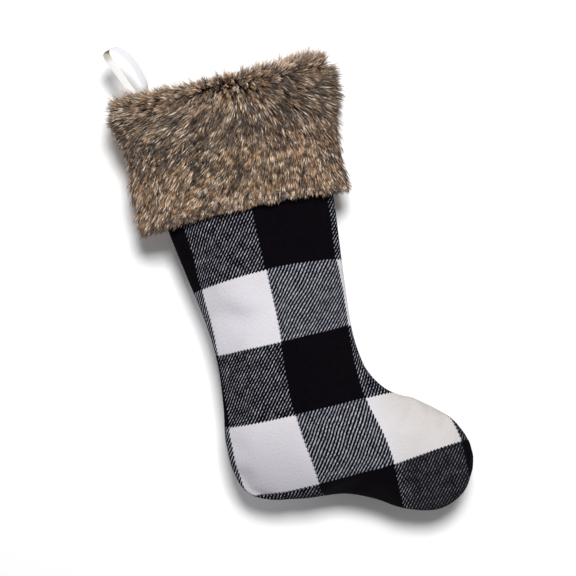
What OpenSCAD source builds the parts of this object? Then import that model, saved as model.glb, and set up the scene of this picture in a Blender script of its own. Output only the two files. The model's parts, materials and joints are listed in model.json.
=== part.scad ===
// Hanging stocking: a sock-shaped bag of two plaid panels with a lining, a fur cuff
// turned down over its mouth, and a ribbon loop at the heel-side corner of the mouth.
// +Z is up, the toe points to +X and the front faces -Y.
// The origin is the inside of the ribbon loop's top, where a hook bears.

/* [Sock] */
// Height of the sock body, from its mouth down to the lowest point of the toe
sock_h = 479; // [420:1:560]
// Half of the sock's depth at the mouth and under the cuff
mouth_depth = 21; // [20:1:26]
// Half of the sock's depth in the leg and the foot, where it is fullest
body_depth = 23; // [20:1:30]
// Thickness of the plaid panels
panel_t = 2; // [1.6:0.1:2.4]
// Thickness of the lining
lining_t = 0.8; // [0.6:0.1:1]
// Width of the seam allowance turned in along the edges of the panels
seam_w = 8; // [7:1:10]

/* [Cuff] */
// How far the fur hangs down from the mouth
cuff_h = 129; // [100:1:140]
// How far the cuff's hem stands off from the leg
hem_flare = 3; // [1:0.5:6]
// How much further the hem stands off at its heel side
heel_flare = 7; // [0:1:10]
// How far the fur is turned down inside the mouth
turn_h = 22; // [16:1:28]
// Depth of the pile on the outside of the cuff
pile_t = 13; // [10:1:16]
// Depth of the pile on the part that is turned inside
turn_pile_t = 3.5; // [2.5:0.5:4]
// Thickness of the knitted backing that the pile grows from
backing_t = 1.2; // [0.8:0.1:1.4]

/* [Ribbon] */
// Width of the ribbon
ribbon_w = 10; // [8:0.5:10]
// Thickness of the ribbon
ribbon_t = 0.8; // [0.6:0.1:0.9]
// Height of the loop from its sewn root to its top
loop_h = 64.5; // [55:0.5:75]
// Half of the distance between the loop's two sides, where it is widest
loop_spread = 10.4; // [8:0.1:11]
// How far the loop's middle bows to the toe side
loop_sway = 3.5; // [0:0.5:5]
// How far the loop leans over the heel side, from upright
loop_lean = 25; // [10:1:35]
// How far the loop's two sides are turned about its length above its root
loop_twist = 20; // [10:1:35]
// How far the ribbon's face is turned towards the front above the loop's root
ribbon_twist = 50; // [20:1:60]

/* [Thread] */
// Diameter of the sewing threads
thread_d = 0.8; // [0.6:0.1:0.9]

/* [Hidden] */

// Clearance between two layers of fabric that lie on each other
layer_gap = 0.3;
// Clearance between the panels and the cuff's backing, which the cuff's seams lie in
cuff_gap = 1.2;

// Stations down the sock. Each is a straight line across the flat sock, from its heel
// side to its instep side, in millimetres from the heel-side corner of the mouth:
// [heel side x, heel side z, instep side x, instep side z, depth as a share of the body's]
NOMINAL_H = 479;
STATIONS = [
    [0, 0, 205, 0, mouth_depth / body_depth],
    [8, -66, 200, -66, mouth_depth / body_depth],
    [16, -132, 195, -132, mouth_depth / body_depth],
    [24, -182, 190, -182, 0.94],
    [32, -232, 185, -232, 0.96],
    [35, -277, 182, -277, 0.98],
    [31, -322, 185, -309, 1],
    [25, -362, 190, -324, 1],
    [28, -402, 197, -336, 1],
    [44, -424, 205, -345, 1],
    [88, -436, 215, -352, 0.98],
    [133, -441, 227, -358, 0.94],
    [163, -453, 239, -367, 0.9],
    [190, -469, 251, -377, 0.84],
    [226, -479, 264, -391, 0.74],
    [254, -469, 273, -411, 0.54],
    [268, -451, 275, -424, 0.3],
    [273, -441, 275, -434, 0]
];
HEM = 2;

// Rows of the body's mesh between two stations, and columns across each panel
ROWS_PER_STATION = 2;
COLUMNS = 14;

// How round a cross-section is at its edges: 0.5 is an ellipse, and 1 is a pointed lens
EDGE_POWER = 0.55;

// A bag inside the sock ends short of the toe by this many times its distance from the edge
TOE_INSET = 1.1;

// How far in from the panels' edge their seam thread lies, then the lining's edge, and
// then the lining's inside
seam_inset = 1.1;
lining_inset = 3;
lining_seam_w = 5;
panel_seam_edge = seam_w + seam_inset;
lining_edge = seam_w + lining_inset;
lining_inside = lining_edge + lining_seam_w;
lining_seam_edge = lining_inside + seam_inset;

// Depths below the panels' outer surface at which the turned-in fabrics lie
turn_gap = 0.5;
lining_depth = panel_t + layer_gap;
turn_depth = lining_depth + lining_t + turn_gap;
turn_edge = lining_inside + 2 * turn_gap;

// Inside the mouth the cuff's edges draw in by this much for each millimetre of depth
TURN_DRAW = 1.2;

// The ribbon's sewn root, from the heel-side corner of the mouth
root = [25, 0, 10];
loop_up = [-sin(loop_lean), 0, cos(loop_lean)];
loop_across = [cos(loop_lean), 0, sin(loop_lean)];
hang_point = root + (loop_h - ribbon_t / 2) * loop_up;

// A value between a and b
function between(a, b, f) = a + (b - a) * f;

// A smooth step from 0 to 1
function ease(f) = let (g = min(max(f, 0), 1)) g * g * (3 - 2 * g);

// A smooth curve through a list of points, at position t counted in points
function curve_at(points, t) =
    let (
        last = len(points) - 1,
        i = min(floor(t), last - 1),
        f = t - i,
        a = points[max(i - 1, 0)],
        b = points[i],
        c = points[i + 1],
        d = points[min(i + 2, last)]
    )
    0.5 * (2 * b + (c - a) * f + (2 * a - 5 * b + 4 * c - d) * f * f
        + (3 * b - a - 3 * c + d) * f * f * f);

// How far a panel stands out across its width, from 0 at its edges to 1 at its middle
function bulge(u) = pow(max(1 - pow(2 * u - 1, 2), 0), EDGE_POWER);

// Positions across a panel, closer together near its edges
ACROSS = [for (j = [0:COLUMNS]) (1 - cos(180 * j / COLUMNS)) / 2];

// The sock's stations at the size asked for: [heel-side point, instep-side point, depth]
function sock_station(s) =
    let (k = sock_h / NOMINAL_H)
    [[s[0], 0, s[1]] * k, [s[2], 0, s[3]] * k, s[4] * body_depth];

// A station drawn in from both its edges, and made shallower
function drawn_in(s, edge, depth) =
    let (along = (s[1] - s[0]) / norm(s[1] - s[0]))
    [s[0] + along * edge, s[1] - along * edge, max(s[2] - depth, 0)];

// The stations of a bag inside the sock. It ends short of the toe by the same distance.
function bag_stations(edge, depth, kept) =
    let (
        all = [for (s = STATIONS) sock_station(s)],
        last = all[len(all) - 1],
        back = all[kept - 2],
        tip = (last[0] + last[1]) / 2,
        before = (back[0] + back[1]) / 2,
        away = (before - tip) / norm(before - tip),
        end = tip + away * edge * TOE_INSET,
        half = (last[1] - last[0]) / 2
    )
    edge == 0 ? all : concat(
        [for (i = [0:kept - 1]) drawn_in(all[i], edge, depth)],
        [[end - half, end + half, 0]]
    );

// A grid of points over one half of a bag, row by row from the mouth to the toe
function bag_grid(stations, rows) = [
    for (i = [0:rows])
        let (s = curve_at(stations, i / rows * (len(stations) - 1)))
        [for (u = ACROSS) between(s[0], s[1], u) - [0, max(s[2], 0) * bulge(u), 0]]
];

// Joins two lists of points of one grid into triangles
function grid_faces(rows, columns, start, flip) = [
    for (i = [0:rows - 1], j = [0:columns - 1])
        let (
            a = start + i * (columns + 1) + j,
            b = a + 1,
            c = a + columns + 1,
            d = c + 1
        )
        each flip ? [[a, c, b], [b, c, d]] : [[a, b, c], [b, d, c]]
];

// Joins the edges of two grids, along the points that each list names
function edge_faces(edge, step) = [
    for (k = [0:len(edge) - 2])
        let (a = edge[k], b = edge[k + 1])
        each [[a, a + step, b], [b, a + step, b + step]]
];

// A closed sheet between an outer grid and an inner grid of the same size
module thick_sheet(outer, inner) {
    rows = len(outer) - 1;
    columns = len(outer[0]) - 1;
    count = (rows + 1) * (columns + 1);
    rim = concat(
        [for (j = [0:columns]) j],
        [for (i = [1:rows]) i * (columns + 1) + columns],
        [for (j = [1:columns]) rows * (columns + 1) + columns - j],
        [for (i = [1:rows]) (rows - i) * (columns + 1)]
    );
    polyhedron(
        points = concat([for (row = outer) each row], [for (row = inner) each row]),
        faces = concat(
            grid_faces(rows, columns, 0, false),
            grid_faces(rows, columns, count, true),
            edge_faces(rim, count)
        )
    );
}

// A closed tube through a list of rings, each with the same number of points
module ring_tube(rings) {
    sides = len(rings[0]);
    last = len(rings) - 1;
    polyhedron(
        points = [for (ring = rings) each ring],
        faces = concat(
            [[for (k = [0:sides - 1]) k]],
            [for (i = [0:last - 1], k = [0:sides - 1])
                let (
                    a = i * sides + k,
                    b = i * sides + (k + 1) % sides
                )
                each [[a, a + sides, b], [b, a + sides, b + sides]]],
            [[for (k = [sides - 1:-1:0]) last * sides + k]]
        )
    );
}

// A thread along a list of points, lying in a plane that is square to the given direction
module thread(path, square_to) {
    sides = 6;
    last = len(path) - 1;
    ring_tube([
        for (i = [0:last])
            let (
                ahead = path[min(i + 1, last)] - path[max(i - 1, 0)],
                side = cross(ahead / norm(ahead), square_to)
            )
            [for (k = [0:sides - 1])
                path[i] + thread_d / 2
                    * (cos(360 * k / sides) * side - sin(360 * k / sides) * square_to)]
    ]);
}

// Puts a piece that is drawn from the mouth's corner into the part's own frame
module placed() {
    translate(-hang_point) children();
}

// ---- The bag ------------------------------------------------------------------------

FULL = len(STATIONS);
BODY_ROWS = ROWS_PER_STATION * (FULL - 1);

module half_panel() {
    thick_sheet(
        bag_grid(bag_stations(0, 0, FULL), BODY_ROWS),
        bag_grid(bag_stations(seam_w, panel_t, FULL - 2), BODY_ROWS)
    );
}

module half_lining() {
    thick_sheet(
        bag_grid(bag_stations(lining_edge, lining_depth, FULL - 2), BODY_ROWS),
        bag_grid(bag_stations(lining_inside, lining_depth + lining_t, FULL - 3), BODY_ROWS)
    );
}

// The line of a bag's edge, down the heel side and back up the instep side. It has the
// same rows as the bag's mesh, from the first row given.
function edge_line(edge, kept, first_row) =
    let (
        stations = bag_stations(edge, 0, kept),
        rail = [for (i = [first_row:BODY_ROWS])
            curve_at(stations, i / BODY_ROWS * (len(stations) - 1))],
        last = len(rail) - 1
    )
    concat([for (s = rail) s[0]], [for (i = [last:-1:0]) rail[i][1]]);

module front_panel() {
    color([0.12, 0.12, 0.14]) placed() half_panel();
}

module back_panel() {
    color([0.12, 0.12, 0.14]) placed() mirror([0, 1, 0]) half_panel();
}

module panel_seam() {
    color([0.05, 0.05, 0.06]) placed() thread(edge_line(panel_seam_edge, FULL - 2, 0), [0, 1, 0]);
}

module front_lining() {
    color([0.1, 0.1, 0.11]) placed() half_lining();
}

module back_lining() {
    color([0.1, 0.1, 0.11]) placed() mirror([0, 1, 0]) half_lining();
}

// The lining's seam starts at the first row below the cuff's inner turn
module lining_seam() {
    color([0.05, 0.05, 0.06]) placed()
        thread(edge_line(lining_seam_edge, FULL - 3, 2), [0, 1, 0]);
}

// ---- The cuff -----------------------------------------------------------------------

// A point on the cuff: u across it, d out from the panel's surface and z up from the mouth.
// The outside flares towards the hem, and most of all at its heel side. Inside the mouth
// the fabrics lie within the seam allowances, so their edges draw in more.
function cuff_point(u, d, z) =
    let (
        k = sock_h / NOMINAL_H,
        down = max(z / (STATIONS[HEM][1] * k), 0),
        heel = (STATIONS[HEM][0] * k - (d > 0 ? heel_flare : 0)) * down,
        toe = between(STATIONS[0][2], STATIONS[HEM][2], down) * k,
        stand_off = d > 0 ? d + hem_flare * down : d,
        draw = d >= 0 ? -stand_off
            : d > -turn_depth ? -d / turn_depth * turn_edge
            : turn_edge - (d + turn_depth) * TURN_DRAW
    )
    [between(heel + draw, toe - draw, u), -(mouth_depth + stand_off) * bulge(u), z];

// One half of a cuff fabric. Its face and its underside are outlines in [d, z] with the
// same number of points, from its edge inside the mouth, up over the mouth and down to the
// hem.
module half_cuff(face, underside) {
    thick_sheet(
        [for (p = face) [for (u = ACROSS) cuff_point(u, p[0], p[1])]],
        [for (p = underside) [for (u = ACROSS) cuff_point(u, p[0], p[1])]]
    );
}

// A straight wall of a cuff fabric's outline, in equal steps
function wall(d, from, to, steps) =
    [for (i = [0:steps]) [d, between(from, to, i / steps)]];

CUFF_STEPS = 6;
turned_backing_t = 1;
backing_top = layer_gap + backing_t;

// The pile hangs below its backing by this much
pile_hang = 3;
backing_hem = pile_hang - cuff_h;

module half_backing() {
    half_cuff(
        concat(
            [
                [-turn_depth - turned_backing_t, -turn_h],
                [-turn_depth - turned_backing_t, 0],
                [-turn_depth, backing_top],
                [cuff_gap, backing_top]
            ],
            wall(cuff_gap + backing_t, 0, backing_hem, CUFF_STEPS)
        ),
        concat(
            wall(-turn_depth, -turn_h, layer_gap, 2),
            [[0, layer_gap]],
            wall(cuff_gap, layer_gap, backing_hem, CUFF_STEPS)
        )
    );
}

// The pile stands out from the backing, and is shorter over the fold and inside the mouth
module half_pile() {
    skin = cuff_gap + backing_t + layer_gap;
    inside = -turn_depth - turned_backing_t - layer_gap;
    top = backing_top + layer_gap;
    crown = 3;
    round_h = 8;
    half_cuff(
        concat(
            [
                [inside - turn_pile_t * 0.5, -turn_h],
                [inside - turn_pile_t, -turn_h + crown],
                [inside - turn_pile_t, -round_h],
                [inside - turn_pile_t * 0.5, top + crown / 2],
                [0, top + crown],
                [skin + pile_t * 0.5, top + crown / 2],
                [skin + pile_t * 0.85, -round_h]
            ],
            wall(skin + pile_t, -2.5 * round_h, round_h - cuff_h, CUFF_STEPS - 2),
            [
                [skin + pile_t * 0.9, round_h / 4 - cuff_h],
                [skin + pile_t * 0.5, -cuff_h]
            ]
        ),
        concat(
            wall(inside, -turn_h, 0, 4),
            [
                [inside + turned_backing_t, top],
                [cuff_gap, top]
            ],
            wall(skin, 0, backing_hem, CUFF_STEPS)
        )
    );
}

module front_cuff_backing() {
    color([0.3, 0.25, 0.2]) placed() half_backing();
}

module back_cuff_backing() {
    color([0.3, 0.25, 0.2]) placed() mirror([0, 1, 0]) half_backing();
}

module front_cuff_pile() {
    color([0.5, 0.42, 0.34]) placed() half_pile();
}

module back_cuff_pile() {
    color([0.5, 0.42, 0.34]) placed() mirror([0, 1, 0]) half_pile();
}

// The seam that closes one side of the cuff runs down between the panels and the backing,
// from a little below the mouth to a little above the hem
module cuff_seam(u) {
    steps = 8;
    from_ends = 4;
    top = -from_ends;
    bottom = backing_hem + from_ends;
    color([0.2, 0.16, 0.13]) placed()
        thread(
            [for (i = [0:steps]) cuff_point(u, cuff_gap / 2, between(top, bottom, i / steps))],
            [0, 1, 0]
        );
}

module cuff_seam_heel_side() {
    cuff_seam(0);
}

module cuff_seam_toe_side() {
    cuff_seam(1);
}

// The stitching that holds the edge of the inner turn, once round the inside of the mouth
module mouth_seam() {
    d = -turn_depth - turned_backing_t / 2;
    z = -turn_h - thread_d;
    front = [for (u = ACROSS) cuff_point(u, d, z)];
    back = [for (j = [COLUMNS - 1:-1:0]) [front[j][0], -front[j][1], z]];
    color([0.2, 0.16, 0.13]) placed() thread(concat(front, back), [0, 0, 1]);
}

// ---- The ribbon ---------------------------------------------------------------------

// Half the distance between the ribbon's two ends, which lie on each other at the root
half_stack = ribbon_t * 0.55;

// The loop's sides run close together up to about this height above the root
neck_h = 1.5;

// The ribbon turns to its full twist within this height above the root
twist_h = 16;

// How full the loop is above and below its widest point: 1 is an ellipse
LOOP_POWER = 0.7;

// Places the loop's greatest sway above its middle when it is more than 1
SWAY_POWER = 1.5;

// The loop's height and half width, as an angle runs from 0 at the root to 180 at the top
function loop_height(angle) = loop_h * (1 - cos(angle)) / 2;
function loop_half_width(angle) =
    let (
        h = loop_height(angle),
        fullness = pow(max(sin(angle), 0), LOOP_POWER) * h / (h + neck_h)
    )
    half_stack + (loop_spread - half_stack) * fullness;

// A point of the loop's centre line, on its heel side at -1 and on its toe side at 1
function loop_point(angle, side) =
    let (
        h = loop_height(angle),
        twist = loop_twist * ease(h / twist_h),
        out = cos(twist) * loop_across - sin(twist) * [0, 1, 0],
        sway = loop_sway * sin(180 * pow(h / loop_h, SWAY_POWER))
    )
    root + h * loop_up + (side * loop_half_width(angle) + sway) * out;

// The direction of the ribbon's width, which is square to the swing at the root
function loop_width_way(angle) =
    let (twist = ribbon_twist * ease(loop_height(angle) / twist_h))
    cos(twist) * [0, 1, 0] + sin(twist) * loop_across;

// Sweeps the ribbon's flat section along a centre line
module ribbon_strip(path, ways) {
    last = len(path) - 1;
    ring_tube([
        for (i = [0:last])
            let (
                ahead = path[min(i + 1, last)] - path[max(i - 1, 0)],
                w = ways[i] * ribbon_w / 2,
                normal = cross(ahead / norm(ahead), ways[i]),
                n = normal / norm(normal) * ribbon_t / 2
            )
            [path[i] - w - n, path[i] + w - n, path[i] + w + n, path[i] - w + n]
    ]);
}

LOOP_STEPS = 18;

module ribbon_loop() {
    turns = [for (i = [0:LOOP_STEPS]) 180 * i / LOOP_STEPS];
    rising = [for (a = turns) loop_point(a, -1)];
    falling = [for (i = [LOOP_STEPS:-1:0]) loop_point(turns[i], 1)];
    rising_ways = [for (a = turns) loop_width_way(a)];
    falling_ways = [for (i = [LOOP_STEPS:-1:0]) rising_ways[i]];
    color([0.95, 0.95, 0.95]) placed()
        ribbon_strip(concat(rising, falling), concat(rising_ways, falling_ways));
}

// The ribbon's two ends lie on each other inside the mouth. They stop short of the root,
// so that the loop can swing.
tail_top = 1.8;
tail_l = 18;

module ribbon_tails() {
    color([0.95, 0.95, 0.95]) placed()
        for (side = [-1, 1])
            ribbon_strip(
                [for (h = [-tail_top, -tail_l])
                    root + h * loop_up + side * half_stack * loop_across],
                [[0, 1, 0], [0, 1, 0]]
            );
}

// Dense stitches across the tails, on the face that is turned to the mouth
module loop_tack() {
    tack_w = ribbon_w * 0.8;
    tack_h = 2;
    from_end = 4;
    out = half_stack + ribbon_t / 2 + thread_d / 2;
    middle = root - (tail_l - from_end) * loop_up + out * loop_across;
    color([0.9, 0.9, 0.9]) placed()
        translate(middle) rotate([0, -loop_lean, 0])
            cube([thread_d, tack_w, tack_h], center = true);
}

front_panel();
back_panel();
panel_seam();
front_lining();
back_lining();
lining_seam();
front_cuff_backing();
back_cuff_backing();
front_cuff_pile();
back_cuff_pile();
cuff_seam_heel_side();
cuff_seam_toe_side();
mouth_seam();
ribbon_loop();
ribbon_tails();
loop_tack();
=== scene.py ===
"""A hanging stocking: a plaid wool bag with a lining, a fur cuff and a ribbon loop.

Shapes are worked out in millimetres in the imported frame, with +Z up, the toe towards +X and
the front towards -Y, and are turned into metres when a mesh is made. The lights and the
stage are placed in metres.
"""
import json
import math

import bpy
import numpy as np
from mathutils import Matrix, Vector


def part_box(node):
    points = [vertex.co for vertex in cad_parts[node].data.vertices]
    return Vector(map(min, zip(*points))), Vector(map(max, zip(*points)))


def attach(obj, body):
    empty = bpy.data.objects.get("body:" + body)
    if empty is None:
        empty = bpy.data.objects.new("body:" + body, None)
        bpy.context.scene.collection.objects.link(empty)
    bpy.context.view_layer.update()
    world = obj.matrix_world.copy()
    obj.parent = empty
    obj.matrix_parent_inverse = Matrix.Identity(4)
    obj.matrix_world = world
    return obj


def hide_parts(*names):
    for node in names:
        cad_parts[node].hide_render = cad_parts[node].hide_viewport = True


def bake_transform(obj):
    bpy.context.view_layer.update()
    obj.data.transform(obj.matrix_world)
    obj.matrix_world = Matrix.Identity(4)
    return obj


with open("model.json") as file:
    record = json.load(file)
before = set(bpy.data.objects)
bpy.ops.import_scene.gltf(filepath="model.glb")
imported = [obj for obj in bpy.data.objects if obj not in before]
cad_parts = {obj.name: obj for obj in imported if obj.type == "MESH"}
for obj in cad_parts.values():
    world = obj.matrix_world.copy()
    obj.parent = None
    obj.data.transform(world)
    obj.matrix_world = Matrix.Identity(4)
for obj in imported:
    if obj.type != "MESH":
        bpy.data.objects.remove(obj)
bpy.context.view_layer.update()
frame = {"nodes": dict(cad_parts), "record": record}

MM = 0.001
BODY = "stocking"
FACES = (("front", -1), ("back", 1))


def box_mm(node):
    """A node's lowest and highest corners, in millimetres."""
    low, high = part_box(node)
    return np.array(low) / MM, np.array(high) / MM


panel_low, panel_high = box_mm("front_panel")
pile_low, _ = box_mm("front_cuff_pile")

# The heel-side corner of the mouth, which the sock's ribs are measured from
CORNER = np.array([panel_low[0], 0.0, panel_high[2]])

# ---- The bag's shape ----

# The bag's depth at its mouth, as a share of its deepest
MOUTH_SHARE = 21 / 23

# Ribs across the flat sock, from its heel side to its instep side, and its depth there as
# a share of the deepest: [heel side x, heel side z, instep side x, instep side z, share]
RIBS = np.array([
    [0, 0, 205, 0, MOUTH_SHARE],
    [8, -66, 200, -66, MOUTH_SHARE],
    [16, -132, 195, -132, MOUTH_SHARE],
    [24, -182, 190, -182, 0.94],
    [32, -232, 185, -232, 0.96],
    [35, -277, 182, -277, 0.98],
    [31, -322, 185, -309, 1],
    [25, -362, 190, -324, 1],
    [28, -402, 197, -336, 1],
    [44, -424, 205, -345, 1],
    [88, -436, 215, -352, 0.98],
    [133, -441, 227, -358, 0.94],
    [163, -453, 239, -367, 0.9],
    [190, -469, 251, -377, 0.84],
    [226, -479, 264, -391, 0.74],
    [254, -469, 273, -411, 0.54],
    [268, -451, 275, -424, 0.3],
    [273, -441, 275, -434, 0],
])
MOUTH_W = RIBS[0][2]
HEM_RIB = RIBS[2]
BODY_DEPTH = -panel_low[1]
MOUTH_DEPTH = BODY_DEPTH * MOUTH_SHARE

# How square the bag's section is: 1 is a parabola, and less is fuller at the edges
EDGE_POWER = 0.55

# An edge is drawn in by no more than this share of the rib it is on
MOST_INSET = 0.45

# The cloth's thicknesses, its seam allowance and the gap inside a seam
PANEL_T = 2.0
LINING_T = 0.8
SEAM_W = 8.0
SEAM_GAP = 0.1


def curve_at(points, t):
    """A smooth curve through rows of numbers, at positions t counted in rows."""
    last = len(points) - 1
    i = np.minimum(np.floor(t).astype(int), last - 1)
    f = (t - i)[:, None]
    a = points[np.maximum(i - 1, 0)]
    b = points[i]
    c = points[i + 1]
    d = points[np.minimum(i + 2, last)]
    return 0.5 * (
        2 * b
        + (c - a) * f
        + (2 * a - 5 * b + 4 * c - d) * f**2
        + (3 * b - a - 3 * c + d) * f**3
    )


def bulge(u):
    """How far a panel stands out across its width, from 0 at its edges to 1."""
    return np.clip(1 - (2 * u - 1) ** 2, 0, 1) ** EDGE_POWER


def smooth_step(f):
    """A smooth step from 0 to 1."""
    g = np.clip(f, 0, 1)
    return g * g * (3 - 2 * g)


def unit(v):
    """The directions of an array of vectors."""
    return v / np.maximum(np.linalg.norm(v, axis=-1, keepdims=True), 1e-9)


def edge_weighted(count):
    """Positions from 0 to 1 that are closer together towards both ends."""
    return (1 - np.cos(np.pi * np.linspace(0, 1, count))) / 2


def bag_grid(rows, across, edge=0.0, depth=0.0):
    """Points of the front half of the bag, drawn in from its edges and made shallower."""
    ribs = curve_at(RIBS, np.linspace(0, len(RIBS) - 1, rows))
    heel = ribs[:, 0:2]
    instep = ribs[:, 2:4]
    width = np.linalg.norm(instep - heel, axis=1, keepdims=True)
    along = (instep - heel) / width
    inset = np.minimum(edge, width * MOST_INSET)
    heel = heel + along * inset
    instep = instep - along * inset
    deep = np.maximum(ribs[:, 4] * BODY_DEPTH - depth, 0)
    flat = heel[:, None, :] + (instep - heel)[:, None, :] * across[None, :, None]
    grid = np.zeros((rows, len(across), 3))
    grid[:, :, 0] = flat[:, :, 0]
    grid[:, :, 1] = -deep[:, None] * bulge(across)[None, :]
    grid[:, :, 2] = flat[:, :, 1]
    return grid + CORNER


def mirrored(points):
    """The same points on the other side of the bag."""
    return points * np.array([1, -1, 1])


# ---- Making meshes ----


def grid_quads(rows, columns):
    """The quads of a grid of points that is numbered row by row."""
    i, j = np.meshgrid(np.arange(rows - 1), np.arange(columns - 1), indexing="ij")
    a = (i * columns + j).ravel()
    return np.stack([a, a + columns, a + columns + 1, a + 1], axis=1)


def facing_out(quads, side):
    """The same quads, turned over on the back of the bag so that they face out there too."""
    return quads[:, ::-1] if side > 0 else quads


def in_scene(name, data):
    """A new object in the scene, which shows a mesh, a light or a camera."""
    made = bpy.data.objects.new(name, data)
    bpy.context.collection.objects.link(made)
    return made


def new_object(name, points, polygons, look=None, flat=None):
    """A smooth mesh object from points in millimetres and arrays of corner numbers.

    flat gives each point's place in the cloth before it was sewn, in metres.
    """
    mesh = bpy.data.meshes.new(name)
    points = np.asarray(points, float).reshape(-1, 3)
    corners = np.concatenate([np.ravel(p) for p in polygons])
    sizes = np.concatenate([np.full(len(p), p.shape[1]) for p in polygons])
    mesh.vertices.add(len(points))
    mesh.vertices.foreach_set("co", np.ravel(points) * MM)
    mesh.loops.add(len(corners))
    mesh.loops.foreach_set("vertex_index", corners)
    mesh.polygons.add(len(sizes))
    mesh.polygons.foreach_set("loop_start", np.cumsum(sizes) - sizes)
    mesh.polygons.foreach_set("use_smooth", np.ones(len(sizes), bool))
    if flat is not None:
        layer = mesh.uv_layers.new(name="Cloth")
        layer.data.foreach_set("uv", np.ravel(flat[corners]))
    mesh.update(calc_edges=True)
    mesh.validate()
    if look is not None:
        mesh.materials.append(look)
    return in_scene(name, mesh)


def thicken(piece, thickness, offset=-1.0, levels=1):
    """Gives a sheet its thickness and rounds it."""
    solid = piece.modifiers.new("thickness", "SOLIDIFY")
    solid.thickness = thickness * MM
    solid.offset = offset
    solid.use_even_offset = False
    smooth = piece.modifiers.new("smooth", "SUBSURF")
    smooth.levels = smooth.render_levels = levels
    return piece


# ---- Materials ----


class Num:
    """A number that a material's nodes work out."""

    def __init__(self, tree, socket):
        self.tree = tree
        self.socket = socket

    def _node(self, operation, *values, clamp=False):
        node = self.tree.nodes.new("ShaderNodeMath")
        node.operation = operation
        node.use_clamp = clamp
        for slot, value in zip(node.inputs, values):
            if isinstance(value, Num):
                self.tree.links.new(value.socket, slot)
            else:
                slot.default_value = value
        return Num(self.tree, node.outputs[0])

    def __add__(self, other):
        return self._node("ADD", self, other)

    __radd__ = __add__

    def __sub__(self, other):
        return self._node("SUBTRACT", self, other)

    def __rsub__(self, other):
        return self._node("SUBTRACT", other, self)

    def __mul__(self, other):
        return self._node("MULTIPLY", self, other)

    __rmul__ = __mul__

    def __truediv__(self, other):
        return self._node("DIVIDE", self, other)

    def below(self, other):
        return self._node("LESS_THAN", self, other)

    def fraction(self):
        return self._node("FRACT", self)

    def whole(self):
        return self._node("FLOOR", self)

    def zigzag(self):
        """0 at whole numbers and 1 half way between them."""
        return self._node("PINGPONG", self, 0.5) * 2

    def clamped(self):
        return self._node("ADD", self, 0.0, clamp=True)

    def smooth(self):
        """A smooth step from 0 to 1."""
        g = self.clamped()
        return g * g * (3 - 2 * g)

    def rises(self, start, end):
        """A smooth step from 0 at start to 1 at end, and end may be the lower of the two."""
        return ((self - start) / (end - start)).smooth()

    def power(self, exponent):
        return self._node("POWER", self, exponent)

    def at_most(self, other):
        return self._node("MINIMUM", self, other)


def linear(red, green, blue):
    """A colour given as 0 to 255 in sRGB, as linear numbers."""
    def one(c):
        c = c / 255
        return c / 12.92 if c <= 0.04045 else ((c + 0.055) / 1.055) ** 2.4
    return (one(red), one(green), one(blue), 1.0)


def new_material(name, roughness, sheen=0.0, specular=0.3):
    """A material with its node tree and its shader."""
    look = bpy.data.materials.new(name)
    look.use_nodes = True
    shader = look.node_tree.nodes["Principled BSDF"]
    shader.inputs["Roughness"].default_value = roughness
    shader.inputs["Specular IOR Level"].default_value = specular
    shader.inputs["Sheen Weight"].default_value = sheen
    shader.inputs["Sheen Roughness"].default_value = 0.5
    return look, look.node_tree, shader


def place(tree, uv_map=None):
    """Where a point is: in a UV map, or in the frame."""
    if uv_map is not None:
        node = tree.nodes.new("ShaderNodeUVMap")
        node.uv_map = uv_map
        return node.outputs["UV"]
    return tree.nodes.new("ShaderNodeTexCoord").outputs["Object"]


def split(tree, vector):
    """A vector's three numbers."""
    node = tree.nodes.new("ShaderNodeSeparateXYZ")
    tree.links.new(vector, node.inputs[0])
    return [Num(tree, s) for s in node.outputs]


def noise(tree, vector, size, detail=2.0, rough=0.5):
    """Smooth noise from 0 to 1 whose lumps are about this many millimetres across."""
    node = tree.nodes.new("ShaderNodeTexNoise")
    tree.links.new(vector, node.inputs["Vector"])
    node.inputs["Scale"].default_value = 1 / (size * MM)
    node.inputs["Detail"].default_value = detail
    node.inputs["Roughness"].default_value = rough
    return Num(tree, node.outputs["Fac"])


def blended(tree, share, low, high):
    """A colour between two colours or colour sockets."""
    node = tree.nodes.new("ShaderNodeMix")
    node.data_type = "RGBA"
    tree.links.new(share.socket, node.inputs[0])
    for slot, value in ((node.inputs[6], low), (node.inputs[7], high)):
        if isinstance(value, bpy.types.NodeSocket):
            tree.links.new(value, slot)
        else:
            slot.default_value = value
    return node.outputs[2]


def set_bump(tree, shader, height, depth):
    """Raises the surface by height, from 0 to 1, times a depth in millimetres."""
    node = tree.nodes.new("ShaderNodeBump")
    node.inputs["Strength"].default_value = 1.0
    node.inputs["Distance"].default_value = depth * MM
    tree.links.new(height.socket, node.inputs["Height"])
    tree.links.new(node.outputs[0], shader.inputs["Normal"])


# The plaid's checks, in millimetres in the frame: where one begins, and their sizes
CHECK_X = 36.0
CHECK_W = 74.0
CHECK_Z = -262.0
CHECK_H = 76.0

# The twill's diagonal ribs: their slope, how far apart they are, how far they wander from
# straight in ribs, the length of the short floats on them, and how far each rib's floats
# are shifted from the next rib's. A check's edge steps along the ribs by CHECK_STEP.
TWILL_ANGLE = math.radians(52)
TWILL_PITCH = 2.95
TWILL_WANDER = 1.1
FLOAT_L = 4.4
FLOAT_SHIFT = 0.37
CHECK_STEP = 1.7

# How bright the mixed checks are, where the white threads run down and where across
WARP_LIGHT = 0.76
WEFT_LIGHT = 0.66


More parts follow.
